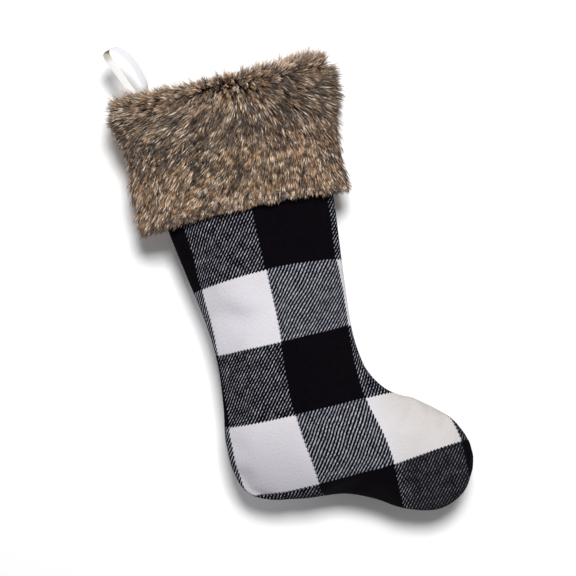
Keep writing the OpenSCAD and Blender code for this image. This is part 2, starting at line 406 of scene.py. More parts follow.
def shaped_threads(x, z):
    """Where each thread is in the straight cloth, as it bends over the foot and at the cuff.

    Each shift is a distance in millimetres times how far the point is into its region.
    """
    foot = z.rises(-400, -490)
    ankle = z.rises(-300, -400) * (1 - foot)
    instep = x.rises(120, 180) * (1 - ankle * 0.5) * (1 - foot)
    below_cuff = ((z + 262) / 60).clamped()
    warp = x + ankle * 4 - foot * ((x - 70) * 0.08).at_most(9.6)
    warp = warp - instep * (4.5 + below_cuff * 4.5)
    across = (x - 110) / 80
    above_heel = ((z + 340) / 78).clamped()
    weft = z + above_heel * across * across * 6.5
    weft = weft - foot * x.rises(150, 270) * 9
    return warp, weft


def twill(tree, cloth, warp, weft):
    """The twill's height from 0 in its grooves to 1, and its short floats, the same way."""
    rib = (warp * math.sin(TWILL_ANGLE) - weft * math.cos(TWILL_ANGLE)) / TWILL_PITCH
    rib = rib + noise(tree, cloth, 30) * TWILL_WANDER
    run = (warp * math.cos(TWILL_ANGLE) + weft * math.sin(TWILL_ANGLE)) / FLOAT_L
    return rib.zigzag(), (run + rib.whole() * FLOAT_SHIFT).zigzag()


def white_checks(warp, weft, ridge):
    """Where the warp and the weft are white. The checks' edges step from rib to rib."""
    step = (ridge - 0.5) * CHECK_STEP
    white_warp = ((warp + step - CHECK_X) / (2 * CHECK_W)).fraction().below(0.5)
    white_weft = ((CHECK_Z - weft + step) / (2 * CHECK_H)).fraction().below(0.5)
    return white_warp, white_weft


def brushed_ribs(tree, cloth, ridge, floats, fibre, warp_only, weft_only):
    """The white of the mixed checks: broken ribs, brighter in places and blurred in others."""
    patchy = noise(tree, cloth, 9, detail=3) - 0.5
    blotch = ((noise(tree, cloth, 3.2, detail=1) - 0.32) * 2.8).clamped()
    stroke = ridge * (0.74 + floats * 0.26)
    thin = ((stroke - 0.65 + patchy * 0.5) * 6.4).smooth()
    wide = ((stroke - 0.45 + patchy * 0.42) * 3.8).smooth()
    speckle = 0.3 + (fibre - 0.3).clamped() * 1.9
    mixed = warp_only * thin * WARP_LIGHT + weft_only * wide * WEFT_LIGHT
    return mixed * speckle * (0.5 + blotch * 0.95)


def plaid_colour(tree, cloth, x, z, light, both):
    """White and black wool, mixed by light from 0 to 1.

    The white leans from lilac to cream, and it is darker towards the heel as painted shade
    where the heel turns down, away from the light. Where it is mixed with black it looks
    blue, and the black is a little uneven.
    """
    tint = noise(tree, cloth, 50, detail=2)
    warm = x.rises(170, 230) * 0.8 + (tint - 0.42) * 1.1
    # Painted shade: the white darkens towards the lower heel, which turns away from the light
    heel = z.rises(-400, -470) * x.rises(150, 90)
    unshaded_white = blended(tree, warm.clamped(), linear(212, 209, 216), linear(200, 195, 191))
    white = blended(tree, heel, unshaded_white, linear(193, 189, 198))
    white = blended(tree, both, linear(214, 217, 232), white)
    black = blended(tree, noise(tree, cloth, 6), linear(4, 2, 6), linear(12, 8, 13))
    return blended(tree, light, black, white)


def plaid_wool():
    """Brushed wool twill in black and white checks, with diagonal ribs where they mix."""
    look, tree, shader = new_material("plaid_wool", 1.0, sheen=0.02, specular=0.04)
    cloth = place(tree, "Cloth")
    x, z, _ = split(tree, cloth)
    x = x / MM
    z = z / MM
    warp, weft = shaped_threads(x, z)
    ridge, floats = twill(tree, cloth, warp, weft)
    white_warp, white_weft = white_checks(warp, weft, ridge)
    both = white_warp * white_weft
    warp_only = white_warp * (1 - white_weft)
    weft_only = white_weft * (1 - white_warp)

    # The mixed check at the end of the toe is darker, and its ribs are fainter
    toe_end = x.rises(190, 210) * z.rises(-440, -460)
    fibre = noise(tree, cloth, 0.8, detail=2, rough=0.7)
    mixed = brushed_ribs(tree, cloth, ridge, floats, fibre, warp_only, weft_only)
    mixed = mixed * (1 - toe_end * 0.6) + warp_only * toe_end * fibre * 0.012
    nap = noise(tree, cloth, 2.4, detail=3, rough=0.65)
    light = (both * (0.76 + fibre * 0.2 + nap * 0.26) + mixed).clamped()
    colour = plaid_colour(tree, cloth, x, z, light, both)
    tree.links.new(colour, shader.inputs["Base Color"])
    relief = (1 - both * 0.75) * ridge * 0.6 + fibre * 0.5 + both * nap * 1.6
    set_bump(tree, shader, relief, 0.35)
    return look


# How far apart threads are: in the lining, round the sewing thread and along the ribbon
LINING_PITCH = 0.5
TWIST_PITCH = 0.7
RIBBON_PITCH = 0.35


def lining_cloth():
    """Plain woven black lining."""
    look, tree, shader = new_material("lining_cloth", 0.6, sheen=0.1)
    x, _, z = split(tree, place(tree))
    weave = (x / (LINING_PITCH * MM)).zigzag() * (z / (LINING_PITCH * MM)).zigzag()
    shade = blended(tree, weave, linear(22, 22, 26), linear(44, 44, 50))
    tree.links.new(shade, shader.inputs["Base Color"])
    set_bump(tree, shader, weave, 0.1)
    return look


def knit_backing():
    """The knitted backing and the dense dark underfur that the long pile grows from."""
    look, tree, shader = new_material("knit_backing", 1.0, sheen=0.1, specular=0.1)
    where = place(tree)
    lumps = noise(tree, where, 3, detail=3)
    shade = blended(tree, lumps, linear(38, 30, 24), linear(86, 70, 56))
    tree.links.new(shade, shader.inputs["Base Color"])
    set_bump(tree, shader, lumps, 1.2)
    return look


def thread_look(name, low, high):
    """A twisted sewing thread."""
    look, tree, shader = new_material(name, 0.55, sheen=0.2)
    x, y, z = split(tree, place(tree))
    twist = ((x + y + z) / (TWIST_PITCH * MM)).zigzag()
    tree.links.new(blended(tree, twist, low, high), shader.inputs["Base Color"])
    set_bump(tree, shader, twist, 0.1)
    return look


RIBBON_W = 10.0

# Half way along the ribbon, where it hangs on its hook, in millimetres from its cut end,
# and how far the painted shade at the loop's top reaches each way there, where the ribbon
# turns over and faces down, away from the light
HANGS_AT = 90.0
TOP_SHADE_REACH = 14


def ribbon_look(name, roughness, pale, deep, loop_top_shade):
    """One face of the ribbon, with fine threads across it and a firmer woven edge.

    The last colour is painted shade at the top of the loop, where the ribbon turns over and
    faces down, away from the light.
    """
    look, tree, shader = new_material(name, roughness, specular=0.5)
    along, side, _ = split(tree, place(tree, "Cloth"))
    threads = (along / (RIBBON_PITCH * MM)).zigzag()
    edge = ((side / (RIBBON_W / 2 * MM)).power(2) - 0.72).clamped() * 3
    shade = threads * 0.35 + edge * 0.5 + noise(tree, place(tree), 5) * 0.3
    colour = blended(tree, shade.clamped(), pale, deep)
    # Painted shade at the loop's top, darkest half way along the ribbon
    painted_top_shade = (1.4 - ((along / MM - HANGS_AT) / TOP_SHADE_REACH).power(2)).smooth()
    colour = blended(tree, painted_top_shade, colour, loop_top_shade)
    tree.links.new(colour, shader.inputs["Base Color"])
    set_bump(tree, shader, threads * 0.5 + edge, 0.08)
    return look


# The strands bring their own UV map, under the name that the export looks for and keeps
STRAND_MAP = "OFBake"

# Fur colours at a strand's root, its middle and its tip, from the darkest strand to the
# palest. A strand's place across this palette is its shade. The dark roots are partly the
# fur's own colour and partly painted shade deep in the pile.
FUR_SHADES = (0.0, 0.25, 0.5, 0.75, 1.0)
FUR_ROOTS = ((10, 7, 5), (18, 14, 12), (25, 16, 11), (41, 25, 14), (44, 34, 28))
FUR_MIDDLES = ((20, 14, 10), (62, 51, 45), (84, 59, 40), (118, 76, 43), (142, 114, 92))
FUR_TIPS = ((38, 27, 20), (158, 142, 130), (190, 154, 120), (206, 160, 112), (250, 238, 222))


def palette(tree, share, colours):
    """A colour that runs through a list of colours."""
    node = tree.nodes.new("ShaderNodeValToRGB")
    stops = node.color_ramp.elements
    while len(stops) < len(colours):
        stops.new(0.5)
    for stop, at, colour in zip(stops, FUR_SHADES, colours):
        stop.position = at
        stop.color = linear(*colour)
    tree.links.new(share.socket, node.inputs[0])
    return node.outputs[0]


def fur_pile():
    """Long faux fur: each strand is dark at its root and pale at its tip.

    The dark towards the root is partly the fur's own colour and partly painted shade deep
    in the pile.
    """
    look, tree, shader = new_material("fur_pile", 0.5, specular=0.4)
    shade, up, _ = split(tree, place(tree, STRAND_MAP))
    # Dark at the root: partly the fur's own colour and partly painted shade deep in the pile
    past_root = (up * 1.8 - 0.42).smooth()
    at_tip = ((up - 0.5) * 3.4).smooth()
    roots = palette(tree, shade, FUR_ROOTS)
    middles = palette(tree, shade, FUR_MIDDLES)
    tips = palette(tree, shade, FUR_TIPS)
    colour = blended(tree, at_tip, blended(tree, past_root, roots, middles), tips)
    tree.links.new(colour, shader.inputs["Base Color"])
    return look


# ---- The bag ----

# The grid of points on each side of the bag, and how much they crowd to its edges
BAG_ROWS = 97
BAG_COLUMNS = 31
EDGE_CROWDING = 0.65

# The cloth is held still above this height, under the cuff, and in the rows that close the
# toe. Elsewhere no point of it moves further than MOST_MOVE.
HELD_ABOVE = pile_low[2] + 4
TOE_ROWS = 3
MOST_MOVE = 5.0
CLOTH_FRAMES = 20

# The thickness that a panel is drawn with
PANEL_DRAWN_T = PANEL_T * 0.7

# How far into the bag a seam allowance's points lie, as shares of the allowance, and the
# most of the bag's own width that it takes
SEAM_STEPS = (1.0, 0.5, 0.16, 0.01)
MOST_SEAM = 0.3

# The lining is cut smaller than the panel, by this much all round, and lies just inside
# it.
LINING_INSET = SEAM_W + 3
LINING_DEPTH = PANEL_T + 0.6


def bag_across():
    """Positions across a panel, closer together towards its edges."""
    even = np.linspace(0, 1, BAG_COLUMNS)
    return even * (1 - EDGE_CROWDING) + edge_weighted(BAG_COLUMNS) * EDGE_CROWDING


def set_cloth(cloth):
    """A firm cloth that is cut 2% large and filled with a little air, without gravity."""
    cloth.quality = 6
    cloth.mass = 0.4
    cloth.tension_stiffness = 20
    cloth.compression_stiffness = 20
    cloth.shear_stiffness = 8
    cloth.bending_stiffness = 3
    cloth.vertex_group_mass = "held"
    cloth.use_pressure = True
    cloth.uniform_pressure_force = 3
    cloth.shrink_min = -0.02
    cloth.effector_weights.gravity = 0


def cloth_moves(front):
    """How far the bag's cloth moves when it is free to find its own shape.

    The whole bag is one loop of cloth. It is held along its seams and under the cuff.
    """
    rows, columns, _ = front.shape
    back = mirrored(front)[:, ::-1][:, 1:-1]
    ring = np.concatenate([front, back], axis=1)
    round_columns = ring.shape[1]
    i, j = np.meshgrid(np.arange(rows - 1), np.arange(round_columns), indexing="ij")
    a = (i * round_columns + j).ravel()
    b = (i * round_columns + (j + 1) % round_columns).ravel()
    quads = np.stack([a, a + round_columns, b + round_columns, b], axis=1)
    bag = new_object("bag_trial", ring, [quads])

    held = np.zeros((rows, round_columns), bool)
    held[:, [0, columns - 1]] = True
    held[ring[:, :, 2] > HELD_ABOVE] = True
    held[-TOE_ROWS:] = True
    group = bag.vertex_groups.new(name="held")
    group.add(np.flatnonzero(held).tolist(), 1.0, "REPLACE")
    set_cloth(bag.modifiers.new("cloth", "CLOTH").settings)
    scene = bpy.context.scene
    for step in range(1, CLOTH_FRAMES + 1):
        scene.frame_set(step)
    settled = bag.evaluated_get(bpy.context.evaluated_depsgraph_get()).data
    found = np.zeros(ring.size)
    settled.vertices.foreach_get("co", found)
    scene.frame_set(1)
    bpy.data.objects.remove(bag, do_unlink=True)

    moves = found.reshape(ring.shape) / MM - ring
    far = np.linalg.norm(moves, axis=2, keepdims=True)
    moves = moves * np.tanh(far / MOST_MOVE) * MOST_MOVE / np.maximum(far, 1e-6)
    back_moves = np.concatenate(
        [moves[:, :1], moves[:, columns:][:, ::-1], moves[:, columns - 1:columns]], axis=1
    )
    return moves[:, :columns], back_moves


def laid_flat(grid):
    """Each point's place in the flat cloth, with distances across measured round the bag."""
    step = np.linalg.norm(np.diff(grid, axis=1), axis=2)
    far = np.concatenate([np.zeros((len(grid), 1)), np.cumsum(step, axis=1)], axis=1)
    far = far - far[:, -1:] / 2
    middle = (grid[:, :1] + grid[:, -1:]) / 2
    return middle + unit(grid[:, -1:] - grid[:, :1]) * far[:, :, None]


def panel(name, grid, moves, side, look):
    """One plaid panel, with its seam allowances turned in along both edges."""
    base = grid if side < 0 else mirrored(grid)
    shaped = base + moves
    flat = laid_flat(base)
    heel = shaped[:, :1]
    toe = shaped[:, -1:]
    inward = unit(toe - heel)
    width = np.linalg.norm(toe - heel, axis=2, keepdims=True)
    reach = np.minimum(SEAM_W, width * MOST_SEAM)
    apart = np.array([0, SEAM_GAP * side, 0])
    sewn = np.concatenate(
        [heel + inward * reach * f + apart for f in SEAM_STEPS]
        + [shaped[:, 1:-1]]
        + [toe - inward * reach * f + apart for f in SEAM_STEPS[::-1]],
        axis=1,
    )
    cut = np.concatenate(
        [flat[:, :1] - inward * reach * f for f in SEAM_STEPS]
        + [flat[:, 1:-1]]
        + [flat[:, -1:] + inward * reach * f for f in SEAM_STEPS[::-1]],
        axis=1,
    )
    quads = facing_out(grid_quads(*sewn.shape[:2]), side)
    made = new_object(name, sewn, [quads], look, cut[:, :, [0, 2]].reshape(-1, 2) * MM)
    return thicken(made, PANEL_DRAWN_T)


def lining(name, moves, side, look):
    """One lining panel, just inside its plaid panel, ending a little short of the toe."""
    grid = bag_grid(BAG_ROWS, bag_across(), edge=LINING_INSET, depth=LINING_DEPTH)
    base = grid if side < 0 else mirrored(grid)
    points = (base + moves)[:-TOE_ROWS]
    quads = facing_out(grid_quads(*points.shape[:2]), side)
    made = new_object(name, points, [quads], look)
    return thicken(made, LINING_T, levels=0)


def make_bag():
    """The plaid panels and their linings."""
    wool = plaid_wool()
    cloth = lining_cloth()
    front = bag_grid(BAG_ROWS, bag_across())
    front_moves, back_moves = cloth_moves(front)
    for (name, side), moves in zip(FACES, (front_moves, back_moves)):
        outer = panel(f"{name}_plaid", front, moves, side, wool)
        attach(outer, BODY)
        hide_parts(f"{name}_panel")
        inner = lining(f"{name}_lining_cloth", moves, side, cloth)
        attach(inner, BODY)
        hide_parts(f"{name}_lining")


# ---- The fur cuff ----

# The knitted backing: its gap from the panel, its thickness, the thickness that it is drawn
# with, how far its outer face stands from the panel, and how high it is folded
CUFF_GAP = 1.2
BACKING_T = 1.2
BACKING_DRAWN_T = 1.0
SKIN = CUFF_GAP + BACKING_T
SKIN_TOP = 1.5

# The part that is turned down into the mouth: the gaps before and behind the lining, its
# height, how far inside the panel's face it lies, how far in its sides are there, and how
# much more at each millimetre deeper
LAYER_GAP = 0.3
TURN_GAP = 0.5
TURN_H = 22.0
TURN_DEPTH = PANEL_T + LAYER_GAP + LINING_T + TURN_GAP
TURN_EDGE = SEAM_W + 9.0
TURN_DRAW = 1.2

# The cuff's height, the backing's, and how far the cuff widens by its hem: out from the
# panel, and past the panel on the heel side
CUFF_H = CORNER[2] - pile_low[2]
BACKING_H = CUFF_H - 3
HEM_FLARE = 3.0
HEEL_FLARE = 7.0

# The fur's skin as an outline: how far along it, how far out from the panel and how high
TURNED_AT = -TURN_DEPTH - BACKING_DRAWN_T
FOLD_W = SKIN - TURNED_AT
OUTLINE_P = np.array([-FOLD_W - TURN_H, -FOLD_W, 0, BACKING_H])
OUTLINE_D = np.array([TURNED_AT, TURNED_AT, SKIN, SKIN])
OUTLINE_Z = np.array([-TURN_H, SKIN_TOP, SKIN_TOP, -BACKING_H])


def cuff_point(u, d, z, side):
    """A point of the cuff: u across it, d out from the panel and z up from the mouth."""
    down = np.maximum(z / HEM_RIB[1], 0)
    heel = (HEM_RIB[0] - np.where(d > 0, HEEL_FLARE, 0)) * down
    toe = MOUTH_W + (HEM_RIB[2] - MOUTH_W) * down
    stand_off = np.where(d > 0, d + HEM_FLARE * down, d)
    turned = np.where(
        d > -TURN_DEPTH, -d / TURN_DEPTH * TURN_EDGE, TURN_EDGE - (d + TURN_DEPTH) * TURN_DRAW
    )
    draw = np.where(d >= 0, -stand_off, turned)
    x = heel + draw + (toe - heel - 2 * draw) * u
    y = side * (MOUTH_DEPTH + stand_off) * bulge(u)
    return np.stack([x, y, z + 0 * u], axis=-1) + CORNER


def skin_point(u, p, side):
    """A point of the fur's skin: u across it and p down it from the front of the fold."""
    d = np.interp(p, OUTLINE_P, OUTLINE_D)
    z = np.interp(p, OUTLINE_P, OUTLINE_Z)
    return cuff_point(u, d, z, side)


# Strands fan out over the fold, within this distance of its corners, and the direction
# across the skin is taken over twice this share of its width
FAN = 6.0
NEAR = 0.004


def skin_frame(u, p, side):
    """A skin point, with the directions across it, down it and out of it."""
    here = skin_point(u, p, side)
    low = np.clip(u - NEAR, 0, 1)
    high = np.clip(u + NEAR, 0, 1)
    across = unit(skin_point(high, p, side) - skin_point(low, p, side))
    down = unit(skin_point(u, p + FAN, side) - skin_point(u, p - FAN, side))
    out = unit(np.cross(across, down)) * side
    return here, across, down, out


# Which way the nap lies: degrees from straight down, towards the toe side when more than
# 0. Each row is one distance down the cuff, from its heel side to its toe side.
NAP_P = np.array([0.0, 18.0, 40.0, 75.0, 130.0])
NAP_U = np.array([0.0, 0.3, 0.5, 0.75, 1.0])
NAP = np.array([
    [-78, -62, -15, 50, 75],
    [-72, -66, -35, 38, 66],
    [-30, -50, -38, 5, 30],
    [-20, -38, -34, -12, 6],
    [-34, -34, -30, -14, 16],
])

# How long the strands are there, as a share of their usual length
NAP_SHARE = np.array([
    [1.0, 0.88, 0.8, 1.0, 1.05],
    [0.74, 1.0, 1.0, 1.0, 1.1],
    [0.72, 1.0, 1.0, 1.0, 1.0],
    [1.3, 1.0, 1.0, 1.0, 0.95],
    [1.3, 1.0, 1.0, 1.0, 1.3],
])


def table_at(table, p, u):
    """A smooth look-up in a table by rows NAP_P and columns NAP_U."""
    i = np.clip(np.interp(p, NAP_P, np.arange(len(NAP_P))), 0, len(NAP_P) - 1.001)
    j = np.clip(np.interp(u, NAP_U, np.arange(len(NAP_U))), 0, len(NAP_U) - 1.001)
    a = np.floor(i).astype(int)
    b = np.floor(j).astype(int)
    f = smooth_step(i - a)
    g = smooth_step(j - b)
    top = table[a, b] * (1 - g) + table[a, b + 1] * g
    low = table[a + 1, b] * (1 - g) + table[a + 1, b + 1] * g
    return top * (1 - f) + low * f


# A lock's cell in millimetres, the margin and the room for its centre there, and how much
# distances down the cuff count, which makes locks longer that way
LOCK_SIZE = 2.7
LOCK_MARGIN = 0.15
LOCK_ROAM = 0.7
LOCK_STRETCH = 0.7


def cell_random(i, j, salt):
    """A repeatable random number from 0 to 1 for each cell of a grid.

    Another salt gives other numbers. The large factors only scatter them.
    """
    v = np.sin(i * 127.1 + j * 311.7 + salt * 74.7) * 43758.5453
    return v - np.floor(v)


def lock_centres(s, p, size, salt):
    """The centre of the lock that each strand belongs to, and the lock's own cell.

    Each cell of a grid has one lock, off its middle, and a strand joins the nearest lock.
    Locks are longer down the nap than they are wide.
    """
    best = np.full(s.shape, np.inf)
    found = [np.zeros_like(s) for _ in range(4)]
    for di in (-1, 0, 1):
        for dj in (-1, 0, 1):
            i = np.floor(s / size) + di
            j = np.floor(p / size) + dj
            cs = (i + LOCK_MARGIN + LOCK_ROAM * cell_random(i, j, salt)) * size
            cp = (j + LOCK_MARGIN + LOCK_ROAM * cell_random(i, j, salt + 1)) * size
            gap = (cs - s) ** 2 + ((cp - p) * LOCK_STRETCH) ** 2
            nearer = gap < best
            best = np.where(nearer, gap, best)
            for k, value in enumerate((cs, cp, i, j)):
                found[k] = np.where(nearer, value, found[k])
    return found


def scatter(count, low_p, high_p, side, rng):
    """Strand roots spread evenly over a stretch of the skin."""
    u_cells = 160
    p_cells = 60
    u = edge_weighted(u_cells + 1)
    p = np.linspace(low_p, high_p, p_cells + 1)
    pp, uu = np.meshgrid(p, u, indexing="ij")
    grid = skin_point(uu, pp, side)
    a = grid[1:, :-1] - grid[:-1, :-1]
    b = grid[:-1, 1:] - grid[:-1, :-1]
    area = np.linalg.norm(np.cross(a, b), axis=2).ravel()
    cell = rng.choice(len(area), count, p=area / area.sum())
    i = cell // u_cells
    j = cell % u_cells
    us = u[j] + (u[j + 1] - u[j]) * rng.random(count)
    ps = p[i] + (p[i + 1] - p[i]) * rng.random(count)
    return us, ps


# The skin's width round the cuff's curved face, which locks are spaced evenly over
SKIN_GIRTH = 260.0

# How locks and then single strands differ. Sweep is to the side of the nap, and rise is
# from the skin, in degrees. Reach is a share of the usual length.
LOCK_SWEEP = 24
LOCK_RISE = 18
LOCK_REACH = (0.8, 0.4)
STRAND_SWEEP = 7
STRAND_RISE = 6
LEAST_RISE = 8

# How far a strand waves to its side in millimetres, how much of a wave it makes in radians,
# and how late along its strands a lock is drawn together
STRAND_WAVE = 0.6
WAVE_TURN = 2.6
GATHER_POWER = 1.4

# Where a strand has its rings of corners, from its root at 0 to its tip at 1, and how wide
# it is at each of them but the last, which is a point
STRAND_STEPS = np.array([0.0, 0.32, 0.8, 1.0])
STRAND_TAPER = np.array([0.75, 1.0, 0.75])


def strand_paths(us, ps, side, rng, style):
    """Centre lines of strands, gathered into locks, with each strand's lock number.

    Each strand rises from the skin and bends over in an arc, the way that the nap lies.
    """
    count = len(us)
    round_cuff = np.arcsin(np.clip(2 * us - 1, -1, 1)) / np.pi + 0.5
    cs, cp, ci, cj = lock_centres(round_cuff * SKIN_GIRTH, ps, LOCK_SIZE, 3 + side)
    cu = (1 + np.sin((np.clip(cs / SKIN_GIRTH, 0.002, 0.998) - 0.5) * np.pi)) / 2
    cp = np.clip(cp, OUTLINE_P[0], OUTLINE_P[-1])
    nap_p = np.maximum(cp, 0)

    sweep = table_at(NAP, nap_p, cu) + LOCK_SWEEP * (cell_random(ci, cj, 5) - 0.5)
    sweep = np.radians(sweep + rng.normal(0, STRAND_SWEEP, count))
    lock_share = LOCK_REACH[0] + LOCK_REACH[1] * cell_random(ci, cj, 6)
    reach = np.interp(ps, style["p"], style["length"]) * table_at(NAP_SHARE, nap_p, cu)
    reach = reach * lock_share * rng.uniform(*style["vary"], count)
    rise = np.interp(ps, style["p"], style["rise"])
    rise = rise + LOCK_RISE * (cell_random(ci, cj, 7) - 0.5)
    rise = np.radians(np.maximum(rise + rng.normal(0, STRAND_RISE, count), LEAST_RISE))
    turned = rise * np.interp(ps, style["p"], style["bend"])

    sway = rng.normal(0, STRAND_WAVE, count)
    own = skin_frame(us, ps, side)
    lock = skin_frame(cu, cp, side)
    lines = []
    for root, across, down, out in (own, lock):
        lay = unit(down * np.cos(sweep)[:, None] + across * np.sin(sweep)[:, None])
        beside = unit(np.cross(lay, out))
        path = []
        for t in STRAND_STEPS:
            forward = reach * (np.sin(rise) - np.sin(rise - turned * t)) / turned
            upward = reach * (np.cos(rise - turned * t) - np.cos(rise)) / turned
            wave = sway * math.sin(WAVE_TURN * t)
            along = lay * forward[:, None] + out * upward[:, None]
            path.append(root + along + beside * wave[:, None])
        lines.append(np.stack(path, axis=1))
    gather = (style["pull"] * STRAND_STEPS**GATHER_POWER)[None, :, None]
    paths = lines[0] * (1 - gather) + lines[1] * gather
    return paths, ci, cj


# A strand's shade and the distance along it are kept just inside the UV map's edges
UV_RANGE = (0.02, 0.98)

# A fixed direction that the corners of every strand are turned from
TURNED_FROM = np.array([0.3, 0.2, 0.9])


def strand_object(name, paths, shades, width, look):
    """One mesh of tapered three-sided strands along the given centre lines.

    Its UV map holds each strand's shade, and how far along the strand a point is.
    """
    count, stages, _ = paths.shape
    ahead = unit(np.gradient(paths, axis=1))
    side = unit(np.cross(ahead, TURNED_FROM))
    up = np.cross(side, ahead)
    points = []
    for k in range(stages - 1):
        for corner in range(3):
            angle = 2 * math.pi * corner / 3
            offset = side[:, k] * math.cos(angle) + up[:, k] * math.sin(angle)
            points.append(paths[:, k] + offset * (width * STRAND_TAPER[k] / 2)[:, None])
    points.append(paths[:, -1])
    points = np.stack(points, axis=1)
    per = points.shape[1]
    start = (np.arange(count) * per)[:, None]
    quads = []
    for k in range(stages - 2):
        for corner in range(3):
            a = 3 * k + corner
            b = 3 * k + (corner + 1) % 3
            quads.append([a, b, b + 3, a + 3])
    last = 3 * (stages - 2)
    tris = [[last + c, last + (c + 1) % 3, per - 1] for c in range(3)] + [[2, 1, 0]]
    quads = (start[:, None, :] + np.array(quads)[None]).reshape(-1, 4)
    tris = (start[:, None, :] + np.array(tris)[None]).reshape(-1, 3)
    made = new_object(name, points, [quads, tris], look)

    along = np.repeat(np.clip(STRAND_STEPS, *UV_RANGE), [3] * (stages - 1) + [1])
    across = np.clip(shades, *UV_RANGE)
    uv = np.stack(np.broadcast_arrays(across[:, None], along[None, :]), axis=2).reshape(-1, 2)
    corners = np.concatenate([quads.ravel(), tris.ravel()])
    layer = made.data.uv_layers.new(name=STRAND_MAP)
    layer.data.foreach_set("uv", uv[corners].ravel())
    return made


# How strands stand, by how far down the cuff their roots are: their length in millimetres,
# how steeply they rise in degrees, and how much of that they lose by their tips. Vary is
# how far lengths differ, pull is how far a lock's tips are drawn together, and width is in
# millimetres.
PILE = {
    "p": [-30, -12, 0, 10, 22, 45, 100, 112, 126],
    "length": [9, 12, 19, 22, 24, 20, 19, 17, 9],
    "rise": [40, 62, 68, 60, 50, 46, 46, 54, 70],
    "bend": [0.7, 0.5, 0.5, 0.7, 0.8, 0.85, 0.85, 0.8, 0.6],
    "vary": (0.7, 1.15),
    "pull": 0.84,
    "width": (0.42, 0.9),
}
FRINGE = {
    "p": [-8, -3, 3, 10],
    "length": [13, 17, 19, 20],
    "rise": [78, 86, 84, 66],
    "bend": [0.3, 0.3, 0.4, 0.5],
    "vary": (0.55, 1.4),
    "pull": 0.5,
    "width": (0.26, 0.5),
}

# The fur's usual shade by distance down the cuff, and the shares of dark and pale strands
SHADE_BANDS = (
    [-30, 0, 25, 45, 62, 80, 98, 112, 126],
    [0.32, 0.36, 0.34, 0.42, 0.56, 0.48, 0.6, 0.46, 0.4],
)
DARK_SHARE = ([0, 14], [0.26, 0.47])
PALE_SHARE = ([0, 20, 100, 126], [0.28, 0.26, 0.26, 0.32])

# How much the shade differs by patch, by lock and by strand, and a patch's size in locks
PATCH_SHADE = 0.16
LOCK_SHADE = 0.36
STRAND_SHADE = 0.08
PATCH_LOCKS = 4

# How much a patch changes the share of dark strands, and how far a strand follows its lock
# in being dark or pale
PATCH_DARK = 0.2
LOCK_CHANCE = 0.6

# The lightest of the dark strands, the darkest of the pale ones, and how much wider pale
# strands are than the others
DARK_SHADE = 0.14
PALE_SHADE = 0.8
PALE_WIDER = 0.6


def pile_shade(ps, ci, cj, rng):
    """A strand's place in the palette: greyer at the top, golden in bands, pale at the hem."""
    count = len(ps)
    base = np.interp(ps, *SHADE_BANDS)
    patch = cell_random(np.floor(ci / PATCH_LOCKS), np.floor(cj / PATCH_LOCKS), 11) - 0.5
    lock = cell_random(ci, cj, 9) - 0.5
    shade = base + patch * PATCH_SHADE + lock * LOCK_SHADE + rng.normal(0, STRAND_SHADE, count)
    chance = LOCK_CHANCE * cell_random(ci, cj, 13) + (1 - LOCK_CHANCE) * rng.random(count)
    dark = chance < np.interp(ps, *DARK_SHARE) + patch * PATCH_DARK
    pale = chance > 1 - np.interp(ps, *PALE_SHARE)
    shade = np.where(dark, rng.uniform(0.0, DARK_SHADE, count), shade)
    return np.where(pale, rng.uniform(PALE_SHADE, 1.0, count), shade)


# The fur's bands: name, how its strands stand, first and last distance down the skin, and
# how many strands the front and the back have there
FUR_BANDS = (
    ("turned_in", PILE, OUTLINE_P[0], -6.0, 4500, 4500),
    ("fringe", FRINGE, -6.0, 9.0, 5600, 4600),
    ("fold", PILE, -6.0, 14.0, 11500, 9500),
    ("upper", PILE, 14.0, 40.0, 12300, 9500),
    ("middle", PILE, 40.0, 68.0, 12300, 9500),
    ("lower", PILE, 68.0, 97.0, 12300, 9500),
    ("hem", PILE, 97.0, BACKING_H - 4, 12300, 9500),
)

# The seed of the first band's random numbers
FIRST_SEED = 100


def backing(name, side, look):
    """The cuff's knitted cloth: folded over the mouth and hanging outside to the hem."""
    columns = 61
    turned_rows = np.linspace(OUTLINE_P[0], OUTLINE_P[1], 9)[:-1]
    fold_rows = np.linspace(OUTLINE_P[1], OUTLINE_P[2], 7)[:-1]
    outer_rows = np.linspace(OUTLINE_P[2], OUTLINE_P[3], 35)
    p = np.concatenate([turned_rows, fold_rows, outer_rows])
    pp, uu = np.meshgrid(p, edge_weighted(columns), indexing="ij")
    quads = facing_out(grid_quads(len(p), columns), side)
    made = new_object(name, skin_point(uu, pp, side), [quads], look)
    return thicken(made, BACKING_DRAWN_T, levels=0)


def make_cuff():
    """The fur cuff: two pieces of knitted cloth, and the pile on them."""
    knit = knit_backing()
    pile = fur_pile()
    grown = {-1: [], 1: []}
    for number, (band, style, low, high, *counts) in enumerate(FUR_BANDS):
        for (face, side), count in zip(FACES, counts):
            rng = np.random.default_rng(FIRST_SEED + 2 * number + (side > 0))
            us, ps = scatter(count, low, high, side, rng)
            paths, ci, cj = strand_paths(us, ps, side, rng, style)
            shades = pile_shade(ps, ci, cj, rng)
            widths = rng.uniform(*style["width"], count)
            widths = widths * (1 + PALE_WIDER * (shades > PALE_SHADE))
            fur = strand_object(f"{face}_fur_{band}", paths, shades, widths, pile)
            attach(fur, BODY)
            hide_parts(f"{face}_cuff_pile")
            grown[side].append(fur)
    for name, side in FACES:
        cloth = backing(f"{name}_cuff_knit", side, knit)
        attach(cloth, BODY)
        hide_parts(f"{name}_cuff_backing")


# ---- The ribbon ----

swing = frame["record"]["behaviour"]["joints"][0]
ROOT = np.array(swing["pos_m"]) / MM
RIBBON_T = 0.8
RIBBON_DRAWN_T = RIBBON_T * 0.6
RIBBON_CUP = 0.25

# The loop leans to the heel side, and these are its own directions
LEAN = math.radians(25)
BACKWARD = np.array([0, 1, 0])
UP = np.array([-math.sin(LEAN), 0, math.cos(LEAN)])
ACROSS = np.array([math.cos(LEAN), 0, math.sin(LEAN)])

